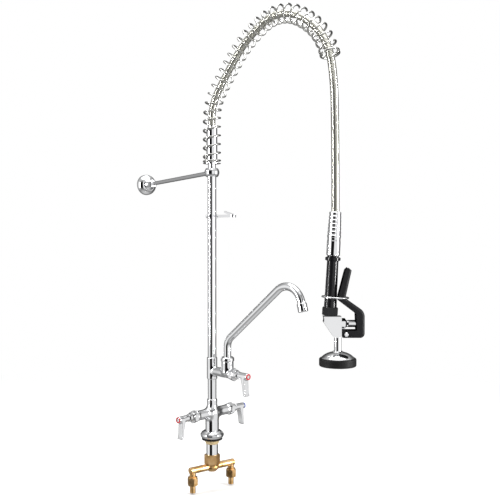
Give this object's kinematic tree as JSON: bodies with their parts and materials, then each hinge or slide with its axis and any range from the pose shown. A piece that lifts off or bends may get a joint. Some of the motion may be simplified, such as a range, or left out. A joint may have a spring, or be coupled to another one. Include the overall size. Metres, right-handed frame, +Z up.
{
  "type": "pre rinse faucet",
  "caption": "Deck-mounted pre-rinse faucet with riser, overhead spring hose, squeeze spray valve, swing spout faucet, finger hook and wall bracket.",
  "frame": {"origin": "on the riser's axis, in the plane of the deck gasket's underside, where the faucet sits on the deck", "axes": "+Z up along the riser; -Y towards the user, where the spray valve hangs; +Y towards the wall; the hot handle is on -X and the cold handle on +X"},
  "size_m": [0.1988, 0.6914, 1.0223],
  "materials": {
    "chrome": "polished plating",
    "brass": "machined and cast, bare",
    "spring_steel": "bright drawn wire",
    "hose_steel": "interlocked strip, fine ribs",
    "grip_black": "satin moulded",
    "lever_black": "fine-textured coating over steel",
    "black_rubber": "moulded, satin",
    "cone_washer": "matt, tan",
    "fibre": "matt fibre",
    "index_red": "gloss",
    "index_blue": "gloss",
    "white_plastic": "moulded"
  },
  "bodies": {
    "faucet": {"manifold_bar": "brass", "coupling_nut": "brass", "union_washer": "fibre", "leg_nuts": "brass", "hot_supply_tube": "brass", "cold_supply_tube": "brass", "shank": "chrome", "cone_washer": "cone_washer", "deck_gasket": "black_rubber", "escutcheon": "chrome", "mixing_body": "chrome", "hot_bonnet": "chrome", "cold_bonnet": "chrome", "addon_bonnet": "chrome", "valve_cartridges": "brass", "lower_riser": "chrome", "addon_tee": "chrome", "spout_nut": "chrome", "upper_riser": "chrome"},
    "hot_handle": {"hot_handle": "chrome", "hot_stem": "brass", "hot_index_ring": "index_red", "hot_handle_screw": "chrome"},
    "cold_handle": {"cold_handle": "chrome", "cold_stem": "brass", "cold_index_ring": "index_blue", "cold_handle_screw": "chrome"},
    "addon_handle": {"addon_handle": "chrome", "addon_stem": "brass", "addon_index_ring": "index_red", "addon_handle_screw": "chrome"},
    "spout": {"swing_spout": "chrome", "spout_orings": "black_rubber", "aerator_housing": "chrome", "aerator_insert": "white_plastic"},
    "hook": {"finger_hook": "chrome", "hook_screw": "chrome"},
    "bracket": {"bracket_collar": "chrome", "bracket_rod": "chrome", "wall_flange": "chrome"},
    "overhead": {"hose_adapter": "chrome", "spring_base": "spring_steel"},
    "arc": {"overhead_spring": "spring_steel", "hose_overhead": "hose_steel"},
    "hang": {"hose_drop": "hose_steel", "ribbed_sleeve": "chrome", "hose_ferrule": "chrome", "handle_cap": "chrome"},
    "spray": {"grip": "grip_black", "hex_collar": "grip_black", "valve_body": "chrome", "valve_bonnet": "chrome", "pivot_pin": "chrome", "spray_dome": "chrome", "spray_face": "black_rubber", "spray_bumper": "black_rubber"},
    "lever": {"squeeze_lever": "lever_black"},
    "plunger": {"plunger": "chrome"},
    "ring": {"hold_ring": "chrome"}
  },
  "joints": [
    {"name": "hot_handle_turn", "type": "hinge", "parent": "faucet", "child": "hot_handle", "pos_m": [-0.07, 0, 0.059], "axis": [-1, 0, 0], "range_deg": [0, 90]},
    {"name": "cold_handle_turn", "type": "hinge", "parent": "faucet", "child": "cold_handle", "pos_m": [0.07, 0, 0.059], "axis": [-1, 0, 0], "range_deg": [0, 90]},
    {"name": "addon_handle_turn", "type": "hinge", "parent": "faucet", "child": "addon_handle", "pos_m": [0, -0.08, 0.152], "axis": [0, -1, 0], "range_deg": [0, 90]},
    {"name": "spout_swing", "type": "hinge", "parent": "faucet", "child": "spout", "pos_m": [0, -0.0485, 0.18], "axis": [0, 0, 1], "range_deg": [-120, 120]},
    {"name": "hook_swivel", "type": "hinge", "parent": "faucet", "child": "hook", "pos_m": [0, 0, 0.492], "axis": [0, 0, 1], "range_deg": [-90, 90]},
    {"name": "bracket_swivel", "type": "hinge", "parent": "faucet", "child": "bracket", "pos_m": [0, 0, 0.588], "axis": [0, 0, 1], "range_deg": [-45, 45]},
    {"name": "overhead_swing", "type": "hinge", "parent": "faucet", "child": "overhead", "pos_m": [0, 0, 0.6], "axis": [0, 0, 1], "range_deg": [-90, 90]},
    {"name": "arc_dip", "type": "hinge", "parent": "overhead", "child": "arc", "pos_m": [0, 0, 0.691], "axis": [1, 0, 0], "range_deg": [0, 5.5], "stiffness_Nm_per_rad": 40, "springref_deg": -6.88},
    {"name": "hose_swing", "type": "hinge", "parent": "arc", "child": "hang", "pos_m": [0, -0.33507, 0.74005], "axis": [-1, 0, 0], "range_deg": [-4, 25]},
    {"name": "spray_turn", "type": "hinge", "parent": "hang", "child": "spray", "pos_m": [0, -0.34, 0.494], "axis": [0.0364, -0.0376, 0.9986], "range_deg": [-90, 90]},
    {"name": "lever_squeeze", "type": "hinge", "parent": "spray", "child": "lever", "pos_m": [0.01375, -0.35424, 0.2644], "axis": [-0.7193, -0.6947, 0], "range_deg": [0, 10], "stiffness_Nm_per_rad": 2, "springref_deg": -5.73},
    {"name": "plunger_slide", "type": "slide", "parent": "spray", "child": "plunger", "axis": [-0.6947, 0.7193, 0], "range_m": [0, 0.0029]},
    {"name": "ring_slide", "type": "slide", "parent": "spray", "child": "ring", "axis": [0.0364, -0.0376, 0.9986], "range_m": [0, 0.008]}
  ],
  "couplings": [
    {"joint": "plunger_slide", "follows": "lever_squeeze", "m_per_rad": 0.0163}
  ]
}
